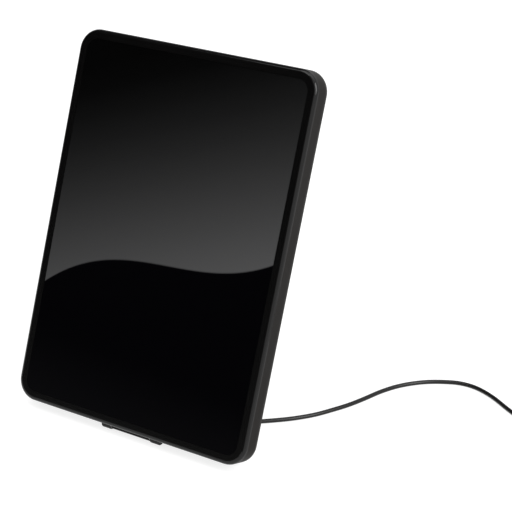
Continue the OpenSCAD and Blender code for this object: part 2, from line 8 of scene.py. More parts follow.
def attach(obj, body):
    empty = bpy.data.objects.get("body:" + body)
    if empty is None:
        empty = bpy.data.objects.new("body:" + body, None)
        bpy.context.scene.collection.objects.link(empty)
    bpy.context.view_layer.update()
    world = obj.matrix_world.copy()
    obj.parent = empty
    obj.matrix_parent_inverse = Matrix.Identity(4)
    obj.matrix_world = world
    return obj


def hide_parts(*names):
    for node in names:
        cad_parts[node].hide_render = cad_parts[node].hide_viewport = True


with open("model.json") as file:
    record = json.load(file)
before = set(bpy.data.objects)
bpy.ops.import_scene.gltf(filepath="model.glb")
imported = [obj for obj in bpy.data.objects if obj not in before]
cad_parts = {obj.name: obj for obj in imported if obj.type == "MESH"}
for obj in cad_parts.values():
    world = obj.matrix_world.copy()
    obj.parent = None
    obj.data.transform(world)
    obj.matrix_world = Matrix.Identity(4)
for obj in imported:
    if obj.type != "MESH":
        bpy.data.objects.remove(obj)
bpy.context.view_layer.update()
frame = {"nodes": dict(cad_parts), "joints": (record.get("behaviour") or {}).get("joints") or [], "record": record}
cadNodes = frame["nodes"]
scene = bpy.context.scene
mm = 0.001
print("frame loaded")

# the leaning case, measured as the part's source measures it
case = {
    "lean": math.radians(22),
    "axisDepth": 9.3 * mm,  # from the front face in to the hinge's axis
    "axisRise": 0.3 * mm,  # from the bottom up to the hinge's axis
}
hinge = Vector(frame["joints"][0]["pos_m"])
caseTurn = Matrix.Rotation(-case["lean"], 3, "X")


def fromCase(across, depth, up):
    # a place on the case, in the frame of the scene
    return hinge + caseTurn @ Vector((across, depth - case["axisDepth"], up - case["axisRise"]))


# camera, at the photograph's angle
view = {
    "place": (0.455064, -0.662573, 0.488502),
    "turn": (64.047, 0.0, 30.888),
    "lens": 110.86,
    "nearest": 0.01,
}
camera = bpy.data.objects.new("camera", bpy.data.cameras.new("camera"))
scene.collection.objects.link(camera)
camera.location = view["place"]
camera.rotation_euler = Euler([math.radians(angle) for angle in view["turn"]])
camera.data.lens = view["lens"]
camera.data.clip_start = view["nearest"]
scene.camera = camera
scene.view_settings.view_transform = "Standard"

# the cord: a run over the table, a coil outside the view, and the short lead into the plug;
# the places of its route, coil and lead are in millimetres, as in the part's source
cord = {
    "diameter": 2.6 * mm,
    "length": 1.5,
    "exit": (38.0, -16.8, 9.9),
    "route": [
        (38.0, -16.8, 9.9), (38.4, -10.6, 7.2), (40.4, -4.8, 4.9), (44.4, 0.4, 3.0), (50.6, 5.2, 1.7),
        (57.3, 10.3, 1.3), (66.8, 18.2, 1.3), (73.7, 25.0, 1.3), (80.1, 32.7, 1.3), (85.8, 41.8, 1.3),
        (91.3, 51.6, 1.3), (96.1, 62.7, 1.3), (100.7, 74.8, 1.3), (106.2, 85.2, 1.3), (112.8, 93.5, 1.3),
        (120.3, 100.2, 1.3), (128.7, 105.2, 1.3), (137.7, 108.7, 1.3), (148.2, 108.7, 1.3),
        (160.5, 104.1, 1.3), (174.3, 95.6, 1.3), (182.6, 90.9, 1.3),
    ],
    "runSteps": 4,  # steps between two points of the route
    "coilMiddle": (200.0, 103.0),
    "outerTurn": 18.9,  # radius of the outermost turn
    "enter": math.radians(-119.6),  # where the run meets the coil
    # the cells that the turns fill one after the other, from the outside in and from the table up
    "cells": [
        (1, 0), (1, 1), (2, 1), (2, 0), (3, 0), (3, 1), (3, 2),
        (2, 2), (2, 3), (1, 3), (1, 2), (0, 2), (0, 1),
    ],
    "stepsPerTurn": 44,
    "lead": [
        (218.9, 103.0, 1.3), (218.9, 107.0, 1.5), (218.9, 110.5, 2.2), (218.9, 114.0, 3.3),
        (218.9, 118.0, 5.0), (218.9, 121.5, 6.2), (218.9, 125.0, 6.5),
    ],
    "leadSteps": 3,
    "roundness": 5,  # of the cord's section
}


def smoothPath(points, steps):
    # a rounded line through the points, with so many steps between each two
    path = []
    for i in range(len(points) - 1):
        nearby = [min(max(k, 0), len(points) - 1) for k in range(i - 1, i + 3)]
        before, start, end, after = (Vector(points[k]) for k in nearby)
        for step in range(steps):
            t = step / steps
            path.append(0.5 * (2 * start + (end - before) * t
                               + (2 * before - 5 * start + 4 * end - after) * t ** 2
                               + (3 * start - before - 3 * end + after) * t ** 3))
    return path + [Vector(points[-1])]


def coilPath():
    # each turn keeps its cell for most of the way round, and moves to the next one on the side near the run
    pitch = cord["diameter"] / mm
    cells = [(0, 0)] + cord["cells"] + [(0, 0)]
    path = []
    for turn in range(len(cells) - 1):
        (inFrom, upFrom), (inTo, upTo) = cells[turn], cells[turn + 1]
        last = turn == len(cells) - 2
        steps = round(cord["stepsPerTurn"] * (-cord["enter"] / math.tau if last else 1))
        for step in range(steps):
            angle = cord["enter"] - (cord["enter"] if last else -math.tau) * step / steps
            moved = min(1, (angle - cord["enter"]) / -cord["enter"])
            moved = moved * moved * (3 - 2 * moved)
            radius = cord["outerTurn"] - pitch * (inFrom + (inTo - inFrom) * moved)
            up = pitch * (0.5 + upFrom + (upTo - upFrom) * moved)
            path.append(Vector((cord["coilMiddle"][0] + radius * math.cos(angle),
                                cord["coilMiddle"][1] + radius * math.sin(angle), up)))
    return path


coil = coilPath()
run = smoothPath(cord["route"] + [tuple(coil[0])], cord["runSteps"])[:-1]
lead = smoothPath(cord["lead"], cord["leadSteps"])
cordPoints = [point * mm for point in run + coil + lead]
for point in cordPoints:
    point.z = max(point.z, cord["diameter"] / 2)  # never into the table
cordLine = bpy.data.curves.new("cord", "CURVE")
cordLine.dimensions = "3D"
cordLine.bevel_depth = cord["diameter"] / 2
cordLine.bevel_resolution = cord["roundness"]
cordLine.use_fill_caps = True
spline = cordLine.splines.new("POLY")
spline.points.add(len(cordPoints) - 1)
for centre, point in zip(cordPoints, spline.points):
    point.co = (*centre, 1)
cordDraft = bpy.data.objects.new("cordDraft", cordLine)
scene.collection.objects.link(cordDraft)
drafts = bpy.context.evaluated_depsgraph_get()
cordMesh = bpy.data.meshes.new_from_object(cordDraft.evaluated_get(drafts))
bpy.data.objects.remove(cordDraft)
cordPiece = bpy.data.objects.new("coaxLead", cordMesh)
scene.collection.objects.link(cordPiece)
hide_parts("coax_cord", "cord_coil", "plug_lead")
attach(cordPiece, "case")
lengthOf = sum((b - a).length for a, b in zip(cordPoints, cordPoints[1:]))
print("cord laid,", round(lengthOf, 3), "m")


# materials: a shader with plain constants, and what varies over the surface wired into it
def finish(name, roughness=0.5, metallic=0.0, specular=0.5):
    material = bpy.data.materials.new(name)
    material.use_nodes = True
    tree = material.node_tree
    shader = tree.nodes["Principled BSDF"]
    shader.inputs["Roughness"].default_value = roughness
    shader.inputs["Metallic"].default_value = metallic
    shader.inputs["Specular IOR Level"].default_value = specular
    return material, tree, shader


def link(tree, source, target):
    tree.links.new(source, target)


def group(name, inputs, outputs):
    tree = bpy.data.node_groups.new(name, "ShaderNodeTree")
    for label, kind, value in inputs:
        socket = tree.interface.new_socket(label, in_out="INPUT", socket_type=kind)
        if value is not None:
            socket.default_value = value
    for label, kind in outputs:
        tree.interface.new_socket(label, in_out="OUTPUT", socket_type=kind)
    return tree, tree.nodes.new("NodeGroupInput"), tree.nodes.new("NodeGroupOutput")


def node(tree, kind, **values):
    made = tree.nodes.new(kind)
    for name, value in values.items():
        setattr(made, name, value)
    return made


def math2(tree, operation, first, second=None, clamp=False):
    made = node(tree, "ShaderNodeMath", operation=operation, use_clamp=clamp)
    for socket, value in zip(made.inputs, (first, second)):
        if isinstance(value, (int, float)):
            socket.default_value = value
        elif value is not None:
            tree.links.new(value, socket)
    return made.outputs[0]


grainLook = {
    "scale": 1400.0,  # per metre, where a finish names no other
    "detail": 3,
    "pits": 0.5,  # share of the pits in the height
    "driftScale": 22,
    "driftDetail": 4,
    "driftRange": (0.3, 0.7),  # what the slow unevenness spans
}


def buildMouldGrain():
    # the fine spark-eroded grain of moulded plastic, and a slow unevenness of its gloss
    tree, given, out = group(
        "mouldGrain", [("Place", "NodeSocketVector", None), ("Grain", "NodeSocketFloat", grainLook["scale"])],
        [("Height", "NodeSocketFloat"), ("Drift", "NodeSocketFloat")])
    fine = node(tree, "ShaderNodeTexNoise")
    fine.inputs["Detail"].default_value = grainLook["detail"]
    link(tree, given.outputs["Place"], fine.inputs["Vector"])
    link(tree, given.outputs["Grain"], fine.inputs["Scale"])
    pits = node(tree, "ShaderNodeTexVoronoi", feature="SMOOTH_F1")
    link(tree, given.outputs["Place"], pits.inputs["Vector"])
    link(tree, given.outputs["Grain"], pits.inputs["Scale"])
    pitted = math2(tree, "MULTIPLY", pits.outputs["Distance"], grainLook["pits"])
    link(tree, math2(tree, "ADD", fine.outputs["Fac"], pitted), out.inputs["Height"])
    slow = node(tree, "ShaderNodeTexNoise")
    slow.inputs["Scale"].default_value = grainLook["driftScale"]
    slow.inputs["Detail"].default_value = grainLook["driftDetail"]
    link(tree, given.outputs["Place"], slow.inputs["Vector"])
    link(tree, slow.outputs["Fac"], out.inputs["Drift"])
    return tree


wearLook = {
    "width": 0.0006,  # in metres, where a finish names no other
    "amount": 1.0,
    "samples": 4,
    "turn": (0.995, 0.85),  # from where an edge counts as rubbed to where it is fully so
    "patchScale": 260,
    "patchDetail": 4,
}


def buildEdgeWear():
    # a mask of the edges that hands have rubbed, broken up so that it isn't a drawn line
    tree, given, out = group(
        "edgeWear", [("Place", "NodeSocketVector", None), ("Width", "NodeSocketFloat", wearLook["width"]),
                     ("Amount", "NodeSocketFloat", wearLook["amount"])], [("Mask", "NodeSocketFloat")])
    bevel = node(tree, "ShaderNodeBevel", samples=wearLook["samples"])
    link(tree, given.outputs["Width"], bevel.inputs["Radius"])
    surface = node(tree, "ShaderNodeNewGeometry")
    dot = node(tree, "ShaderNodeVectorMath", operation="DOT_PRODUCT")
    link(tree, bevel.outputs["Normal"], dot.inputs[0])
    link(tree, surface.outputs["Normal"], dot.inputs[1])
    spread = node(tree, "ShaderNodeMapRange")
    spread.inputs["From Min"].default_value, spread.inputs["From Max"].default_value = wearLook["turn"]
    link(tree, dot.outputs["Value"], spread.inputs["Value"])
    patches = node(tree, "ShaderNodeTexNoise")
    patches.inputs["Scale"].default_value = wearLook["patchScale"]
    patches.inputs["Detail"].default_value = wearLook["patchDetail"]
    link(tree, given.outputs["Place"], patches.inputs["Vector"])
    broken = math2(tree, "MULTIPLY", spread.outputs["Result"], patches.outputs["Fac"])
    link(tree, math2(tree, "MULTIPLY", broken, given.outputs["Amount"], True), out.inputs["Mask"])
    return tree


def buildOnPanel():
    # turns a place on the leaning case into across, depth from the front face, and height up the panel
    tree, given, out = group(
        "onPanel", [("Place", "NodeSocketVector", None)],
        [("Across", "NodeSocketFloat"), ("Depth", "NodeSocketFloat"), ("Up", "NodeSocketFloat")])
    upright = node(tree, "ShaderNodeMapping")
    upright.inputs["Rotation"].default_value = (case["lean"], 0, 0)
    upright.inputs["Location"].default_value = -(caseTurn.transposed() @ fromCase(0, 0, 0))
    link(tree, given.outputs["Place"], upright.inputs["Vector"])
    split = node(tree, "ShaderNodeSeparateXYZ")
    link(tree, upright.outputs["Vector"], split.inputs["Vector"])
    for axis, label in zip("XYZ", ("Across", "Depth", "Up")):
        link(tree, split.outputs[axis], out.inputs[label])
    return tree


mouldGrain, edgeWear, onPanel = buildMouldGrain(), buildEdgeWear(), buildOnPanel()


def place(tree):
    return node(tree, "ShaderNodeTexCoord").outputs["Object"]


def useGroup(tree, nodeGroup, **values):
    made = node(tree, "ShaderNodeGroup")
    made.node_tree = nodeGroup
    for label, value in values.items():
        made.inputs[label].default_value = value
    link(tree, place(tree), made.inputs["Place"])
    return made


def mixColour(tree, factor, first, second):
    made = node(tree, "ShaderNodeMix", data_type="RGBA")
    if isinstance(factor, (int, float)):
        made.inputs[0].default_value = factor
    else:
        link(tree, factor, made.inputs[0])
    for socket, value in ((made.inputs[6], first), (made.inputs[7], second)):
        if isinstance(value, tuple):
            socket.default_value = (*value, 1)
        else:
            link(tree, value, socket)
    return made.outputs[2]


def between(tree, value, low, high, toLow, toHigh):
    made = node(tree, "ShaderNodeMapRange")
    for label, number in zip(("From Min", "From Max", "To Min", "To Max"), (low, high, toLow, toHigh)):
        made.inputs[label].default_value = number
    link(tree, value, made.inputs["Value"])
    return made.outputs["Result"]


def bump(tree, shader, height, strength, distance):
    made = node(tree, "ShaderNodeBump")
    made.inputs["Strength"].default_value = strength
    made.inputs["Distance"].default_value = distance
    link(tree, height, made.inputs["Height"])
    link(tree, made.outputs["Normal"], shader.inputs["Normal"])


def drifting(tree, grain, low, high):
    # a value that wanders slowly between two others
    return between(tree, grain.outputs["Drift"], *grainLook["driftRange"], low, high)


mouldedLook = {"roughSwing": 0.05, "wornShine": 0.15, "bumpReach": 0.0002}


def moulded(name, look):
    # plastic or rubber from a mould
    material, tree, shader = finish(name, specular=look["specular"])
    grain = useGroup(tree, mouldGrain, Grain=look["grain"])
    worn = useGroup(tree, edgeWear, Width=look["wearWidth"], Amount=look["wear"])
    colour = mixColour(tree, drifting(tree, grain, 0, 1), look["colour"], look["colourAway"])
    link(tree, mixColour(tree, worn.outputs["Mask"], colour, look["worn"]), shader.inputs["Base Color"])
    swing = mouldedLook["roughSwing"]
    rough = drifting(tree, grain, look["rough"] - swing, look["rough"] + swing)
    shine = math2(tree, "MULTIPLY", worn.outputs["Mask"], mouldedLook["wornShine"])
    link(tree, math2(tree, "SUBTRACT", rough, shine), shader.inputs["Roughness"])
    bump(tree, shader, grain.outputs["Height"], look["depth"], mouldedLook["bumpReach"])
    return material


def polishedFront(material, look):
    # the frame is polished in front and on its rounding, and left matt and warmer on its sides
    tree = material.node_tree
    shader = tree.nodes["Principled BSDF"]
    side = between(tree, useGroup(tree, onPanel).outputs["Depth"], look["from"], look["to"], 0, 1)
    sides = shader.inputs["Base Color"].links[0].from_socket
    link(tree, mixColour(tree, side, look["colour"], sides), shader.inputs["Base Color"])
    shader.inputs["Coat Roughness"].default_value = look["rough"]
    link(tree, between(tree, side, 0, 1, look["gloss"], 0), shader.inputs["Coat Weight"])


metalLook = {
    "detail": 5,
    "wearWidth": 0.0003,
    "wear": 0.8,
    "toneRange": (0.35, 0.65),
    "roughRange": (0.3, 0.7),
    "smoother": 0.07,
    "rougher": 0.1,
    "bumpReach": 0.0001,
}


def metal(name, look):
    # drawn or turned metal with fine marks along one direction
    material, tree, shader = finish(name, metallic=1.0)
    stretch = node(tree, "ShaderNodeMapping")
    stretch.inputs["Scale"].default_value = look["stretch"]
    link(tree, place(tree), stretch.inputs["Vector"])
    marks = node(tree, "ShaderNodeTexNoise")
    marks.inputs["Scale"].default_value = look["marks"]
    marks.inputs["Detail"].default_value = metalLook["detail"]
    link(tree, stretch.outputs["Vector"], marks.inputs["Vector"])
    worn = useGroup(tree, edgeWear, Width=metalLook["wearWidth"], Amount=metalLook["wear"])
    tone = between(tree, marks.outputs["Fac"], *metalLook["toneRange"], 0, 1)
    colour = mixColour(tree, tone, look["colour"], look["colourAway"])
    link(tree, mixColour(tree, worn.outputs["Mask"], colour, look["worn"]), shader.inputs["Base Color"])
    rough = between(tree, marks.outputs["Fac"], *metalLook["roughRange"],
                    look["rough"] - metalLook["smoother"], look["rough"] + metalLook["rougher"])
    link(tree, rough, shader.inputs["Roughness"])
    bump(tree, shader, marks.outputs["Fac"], look["depth"], metalLook["bumpReach"])
    return material


# grain is per metre, depth is the strength of the bump, and wearWidth is in metres
plastics = {
    "moulded_frame": {
        "colour": (0.0085, 0.0074, 0.0066), "colourAway": (0.011, 0.0095, 0.0085),
        "worn": (0.025, 0.0225, 0.021), "rough": 0.5, "specular": 0.06,
        "grain": 1500.0, "depth": 0.05, "wear": 0.5, "wearWidth": 0.0005,
    },
    "moulded_cover": {
        "colour": (0.0088, 0.0078, 0.0071), "colourAway": (0.0115, 0.0102, 0.0093),
        "worn": (0.03, 0.0275, 0.025), "rough": 0.5, "specular": 0.14,
        "grain": 1200.0, "depth": 0.12, "wear": 0.6, "wearWidth": 0.0006,
    },
    "moulded_leg": {
        "colour": (0.0085, 0.0077, 0.0071), "colourAway": (0.0112, 0.0101, 0.0093),
        "worn": (0.032, 0.029, 0.027), "rough": 0.48, "specular": 0.14,
        "grain": 1300.0, "depth": 0.1, "wear": 0.8, "wearWidth": 0.0007,
    },
    "pad_rubber": {
        "colour": (0.012, 0.012, 0.012), "colourAway": (0.018, 0.018, 0.018),
        "worn": (0.05, 0.05, 0.048), "rough": 0.75, "specular": 0.3,
        "grain": 900.0, "depth": 0.2, "wear": 0.6, "wearWidth": 0.0006,
    },
    "relief_rubber": {
        "colour": (0.011, 0.011, 0.011), "colourAway": (0.016, 0.016, 0.016),
        "worn": (0.04, 0.04, 0.04), "rough": 0.6, "specular": 0.4,
        "grain": 1200.0, "depth": 0.1, "wear": 0.5, "wearWidth": 0.0005,
    },
    "grip_rubber": {
        "colour": (0.01, 0.01, 0.01), "colourAway": (0.014, 0.014, 0.014),
        "worn": (0.04, 0.04, 0.04), "rough": 0.5, "specular": 0.45,
        "grain": 1200.0, "depth": 0.1, "wear": 0.6, "wearWidth": 0.0006,
    },
    "tie_black": {
        "colour": (0.012, 0.012, 0.013), "colourAway": (0.02, 0.02, 0.021),
        "worn": (0.05, 0.05, 0.05), "rough": 0.7, "specular": 0.3,
        "grain": 2600.0, "depth": 0.5, "wear": 0.6, "wearWidth": 0.0004,
    },
    "cord_jacket": {
        "colour": (0.007, 0.0068, 0.0066), "colourAway": (0.0095, 0.0092, 0.009),
        "worn": (0.03, 0.03, 0.03), "rough": 0.27, "specular": 0.3,
        "grain": 800.0, "depth": 0.04, "wear": 0.0, "wearWidth": 0.0003,
    },
    "clamp_white": {
        "colour": (0.72, 0.71, 0.67), "colourAway": (0.66, 0.65, 0.6),
        "worn": (0.8, 0.8, 0.78), "rough": 0.45, "specular": 0.5,
        "grain": 1200.0, "depth": 0.06, "wear": 0.4, "wearWidth": 0.0004,
    },
    "insulator_white": {
        "colour": (0.78, 0.77, 0.73), "colourAway": (0.72, 0.71, 0.66),
        "worn": (0.85, 0.85, 0.82), "rough": 0.35, "specular": 0.5,
        "grain": 1600.0, "depth": 0.04, "wear": 0.3, "wearWidth": 0.0003,
    },
    "sheet_black": {
        "colour": (0.004, 0.004, 0.004), "colourAway": (0.006, 0.006, 0.006),
        "worn": (0.02, 0.02, 0.02), "rough": 0.6, "specular": 0.3,
        "grain": 700.0, "depth": 0.05, "wear": 0.3, "wearWidth": 0.0003,
    },
    "tape_grey": {
        "colour": (0.12, 0.12, 0.125), "colourAway": (0.16, 0.16, 0.165),
        "worn": (0.25, 0.25, 0.25), "rough": 0.8, "specular": 0.2,
        "grain": 500.0, "depth": 0.5, "wear": 0.4, "wearWidth": 0.0003,
    },
    "chip_black": {
        "colour": (0.012, 0.012, 0.013), "colourAway": (0.02, 0.02, 0.021),
        "worn": (0.08, 0.08, 0.08), "rough": 0.55, "specular": 0.4,
        "grain": 2400.0, "depth": 0.15, "wear": 0.5, "wearWidth": 0.0002,
    },
    "ferrite": {
        "colour": (0.03, 0.028, 0.027), "colourAway": (0.045, 0.043, 0.042),
        "worn": (0.12, 0.12, 0.12), "rough": 0.65, "specular": 0.4,
        "grain": 1800.0, "depth": 0.4, "wear": 0.8, "wearWidth": 0.0005,
    },
    "board_green": {
        "colour": (0.01, 0.11, 0.04), "colourAway": (0.014, 0.15, 0.055),
        "worn": (0.5, 0.45, 0.25), "rough": 0.35, "specular": 0.5,
        "grain": 900.0, "depth": 0.08, "wear": 0.6, "wearWidth": 0.0003,
    },
}
# marks are per metre before they are stretched
metals = {
    "screw_black": {
        "colour": (0.03, 0.03, 0.032), "colourAway": (0.055, 0.054, 0.055),
        "worn": (0.3, 0.29, 0.28), "rough": 0.38, "stretch": (1, 1, 1),
        "marks": 900.0, "depth": 0.1,
    },
    "screw_zinc": {
        "colour": (0.62, 0.62, 0.6), "colourAway": (0.5, 0.5, 0.49),
        "worn": (0.8, 0.8, 0.78), "rough": 0.3, "stretch": (1, 1, 1),
        "marks": 900.0, "depth": 0.1,
    },
    "pin_steel": {
        "colour": (0.55, 0.55, 0.54), "colourAway": (0.42, 0.42, 0.42),
        "worn": (0.75, 0.75, 0.74), "rough": 0.28, "stretch": (0.05, 1, 1),
        "marks": 1800.0, "depth": 0.1,
    },
    "washer_steel": {
        "colour": (0.5, 0.5, 0.49), "colourAway": (0.38, 0.38, 0.38),
        "worn": (0.7, 0.7, 0.7), "rough": 0.32, "stretch": (1, 1, 1),
        "marks": 1600.0, "depth": 0.1,
    },
    "tin_plate": {
        "colour": (0.68, 0.68, 0.66), "colourAway": (0.55, 0.55, 0.54),
        "worn": (0.85, 0.85, 0.84), "rough": 0.25, "stretch": (0.04, 1, 1),
        "marks": 1400.0, "depth": 0.08,
    },
    "radiator_copper": {
        "colour": (0.72, 0.3, 0.16), "colourAway": (0.55, 0.22, 0.12),
        "worn": (0.9, 0.5, 0.35), "rough": 0.32, "stretch": (0.06, 1, 1),
        "marks": 1200.0, "depth": 0.06,
    },
    "sleeve_nickel": {
        "colour": (0.66, 0.64, 0.6), "colourAway": (0.54, 0.52, 0.49),
        "worn": (0.85, 0.83, 0.8), "rough": 0.2, "stretch": (1, 0.05, 1),
        "marks": 1600.0, "depth": 0.06,
    },
    "contact_brass": {
        "colour": (0.72, 0.5, 0.2), "colourAway": (0.6, 0.4, 0.15),
        "worn": (0.85, 0.68, 0.35), "rough": 0.24, "stretch": (1, 0.05, 1),
        "marks": 1600.0, "depth": 0.06,
    },
}

# the window: a clear gloss over a painted reflection, a graded grey sheen in its colour that ends at a waved line,
# black below it
window = {
    "waveMiddle": 97.59 * mm,
    "waveTilt": 5.96 * mm,
    "waveBow": -5.78 * mm,
    "waveBend": 17.53 * mm,
    "waveHalfWidth": 75 * mm,
    "softness": 0.5 * mm,
    "slope": (0.23, 0.6),  # the painted reflection gets lighter to the right and downwards
    "zero": (-65 * mm, 200 * mm),
    "span": 95.0,
    # the greys of the painted reflection, from dark to light along its ramp
    "paintedSheen": [
        (0.0, 0.001), (0.1, 0.0018), (0.2, 0.0046), (0.3, 0.009), (0.4, 0.0155), (0.5, 0.0245), (0.6, 0.036),
        (0.7, 0.049), (0.8, 0.064), (1.0, 0.093),
    ],
    "cool": 1.01,  # how much bluer the painted reflection is than grey
    "black": (0.0007, 0.0006, 0.0011),
    "rough": (0.04, 0.08),
}


# a glossy window with a reflection painted into its base colour
def windowGlossAndPaintedSheen(name):
    material, tree, shader = finish(name)
    panel = useGroup(tree, onPanel)
    across, up = panel.outputs["Across"], panel.outputs["Up"]
    share = math2(tree, "DIVIDE", across, window["waveHalfWidth"])
    bend = math2(tree, "MULTIPLY_ADD", share, window["waveBend"])
    bend.node.inputs[2].default_value = window["waveBow"]
    bend = math2(tree, "MULTIPLY_ADD", share, bend)
    bend.node.inputs[2].default_value = window["waveTilt"]
    wave = math2(tree, "MULTIPLY_ADD", share, bend)
    wave.node.inputs[2].default_value = window["waveMiddle"]
    above = math2(tree, "SUBTRACT", up, wave)
    upper = between(tree, above, -window["softness"], window["softness"], 0, 1)
    rightwards = math2(tree, "SUBTRACT", across, window["zero"][0])
    downwards = math2(tree, "SUBTRACT", window["zero"][1], up)
    tone = math2(tree, "ADD", math2(tree, "MULTIPLY", rightwards, window["slope"][0] / mm),
                 math2(tree, "MULTIPLY", downwards, window["slope"][1] / mm))
    # the painted reflection: greys from the ramp, put into the colour above the waved line
    ramp = node(tree, "ShaderNodeValToRGB")
    for position, level in window["paintedSheen"][1:-1]:
        ramp.color_ramp.elements.new(position)
    for element, (position, level) in zip(ramp.color_ramp.elements, window["paintedSheen"]):
        element.position = position
        element.color = (level, level, level * window["cool"], 1)
    link(tree, between(tree, tone, 0, window["span"], 0, 1), ramp.inputs["Fac"])
    link(tree, mixColour(tree, upper, window["black"], ramp.outputs["Color"]), shader.inputs["Base Color"])
    link(tree, drifting(tree, useGroup(tree, mouldGrain), *window["rough"]), shader.inputs["Roughness"])
    return material


# a grey foil behind the window, there only to carry the painted reflection
reflectionFoil = {"colour": (0.05, 0.05, 0.052), "colourAway": (0.07, 0.07, 0.072), "rough": (0.35, 0.45)}


def reflectionFoilGrey(name):
    material, tree, shader = finish(name)
    grain = useGroup(tree, mouldGrain)
    colour = mixColour(tree, grain.outputs["Drift"], reflectionFoil["colour"], reflectionFoil["colourAway"])
    link(tree, colour, shader.inputs["Base Color"])
    link(tree, drifting(tree, grain, *reflectionFoil["rough"]), shader.inputs["Roughness"])
    return material


materials = {name: moulded(name, look) for name, look in plastics.items()}
materials.update({name: metal(name, look) for name, look in metals.items()})
materials["window_gloss"] = windowGlossAndPaintedSheen("window_gloss")
materials["foil_grey"] = reflectionFoilGrey("foil_grey")
polish = {"from": 2.2 * mm, "to": 2.6 * mm, "colour": (0.0014, 0.0013, 0.0013), "rough": 0.12, "gloss": 0.5}
polishedFront(materials["moulded_frame"], polish)
slotOf = {part["node"]: part["material_slot"] for part in frame["record"]["subparts"]}
for label, piece in cadNodes.items():
    piece.data.materials.clear()
    piece.data.materials.append(materials[slotOf[label]])
cordMesh.materials.clear()
cordMesh.materials.append(materials["cord_jacket"])
print("finishes on", len(cadNodes), "solids")

# the tie: a hook and loop strap once round the winding, its end laid over itself
tie = {
    "middle": (200 * mm, 118 * mm, 5.5 * mm),
    "halfAcross": 5.5 * mm,
    "halfUp": 5.2 * mm,
    "corner": 1.6 * mm,
    "width": 9.0 * mm,
    "thick": 0.6 * mm,
    "edge": 0.13 * mm,  # the broken edge of the strap
    "overlap": 11.0 * mm,
    "rise": 4 * mm,  # length over which the end climbs on the first turn
    "riseShare": 1.1,
    "tip": 3.0 * mm,  # length of the rounded end
    "tipWidth": 0.25,  # share of the width at the very end
    "step": 0.4 * mm,
    "bareBelow": 1.5 * mm,  # no loops nearer to the table
    "loopsPerSquareMm": 5.0,
    "loopRadius": 0.17 * mm,
    "threadShare": 0.22,  # of the loop's radius
    "loopSides": 7,
    "threadSides": 3,
    "loopLean": math.radians(80),
    "loopTilt": 0.4,
    "seed": 7,
}


def tieStations():
    # places along the strap's middle line with the outward direction there
    wide, high, r = tie["halfAcross"], tie["halfUp"], tie["corner"]
    quarter = r * math.pi / 2
    # the straight sides round the winding: length, where each starts, and the way that it faces
    sides = [(wide - r, (0, high), 90), (2 * (high - r), (wide, high - r), 0),
             (2 * (wide - r), (wide - r, -high), -90), (2 * (high - r), (-wide, r - high), 180),
             (wide - r, (r - wide, high), 90)]
    whole = sum(side[0] for side in sides) + 4 * quarter
    total = whole + tie["overlap"]
    stations = []
    count = round(total / tie["step"])
    for i in range(count + 1):
        along = total * i / count
        left = along % whole
        for length, (y, z), facing in sides:
            turn = math.radians(facing)
            if left <= length:
                outward = Vector((0, math.cos(turn), math.sin(turn)))
                point = Vector((0, y + math.sin(turn) * left, z - math.cos(turn) * left))
                break
            left -= length
            if left <= quarter:
                corner = Vector((0, y + math.sin(turn) * length, z - math.cos(turn) * length))
                centre = corner - r * Vector((0, math.cos(turn), math.sin(turn)))
                turn -= left / r
                outward = Vector((0, math.cos(turn), math.sin(turn)))
                point = centre + r * outward
                break
            left -= quarter
        climbed = min(1, max(0, (along - whole + tie["rise"]) / tie["rise"]))
        lift = climbed * tie["thick"] * tie["riseShare"]
        toEnd = max(0, 1 - (total - along) / tie["tip"])
        stations.append((point + outward * lift, outward, max(tie["tipWidth"], math.sqrt(1 - toEnd ** 2))))
    return stations


def tieStrap():
    # the strap as a closed band with broken edges, its outer faces marked for the loops
    strap = bmesh.new()
    outer = strap.faces.layers.bool.new("outer")
    half, thick, edge = tie["width"] / 2, tie["thick"] / 2, tie["edge"]
    section = [(-half, edge - thick), (edge - half, -thick), (half - edge, -thick), (half, edge - thick),
               (half, thick - edge), (half - edge, thick), (edge - half, thick), (-half, thick - edge)]
    outside = 5  # the side of the section that faces away from the turns
    rings = []
    for point, outward, share in tieStations():
        centre = Vector(tie["middle"]) + point
        rings.append([strap.verts.new(centre + Vector((across * share, 0, 0)) + outward * out)
                      for across, out in section])
    for before, after in zip(rings, rings[1:]):
        for i in range(len(section)):
            k = (i + 1) % len(section)
            side = strap.faces.new((before[i], before[k], after[k], after[i]))
            side[outer] = i == outside and min(corner.co.z for corner in side.verts) > tie["bareBelow"]
    strap.faces.new(rings[0])
    strap.faces.new(list(reversed(rings[-1])))
    bmesh.ops.recalc_face_normals(strap, faces=strap.faces)
    mesh = bpy.data.meshes.new("tieStrap")
    strap.to_mesh(mesh)
    strap.free()
    return mesh


def socketOf(tree, label):
    # a modifier's input is set by the identifier of its socket
    return next(item.identifier for item in tree.interface.items_tree
                if item.name == label and item.in_out == "INPUT")


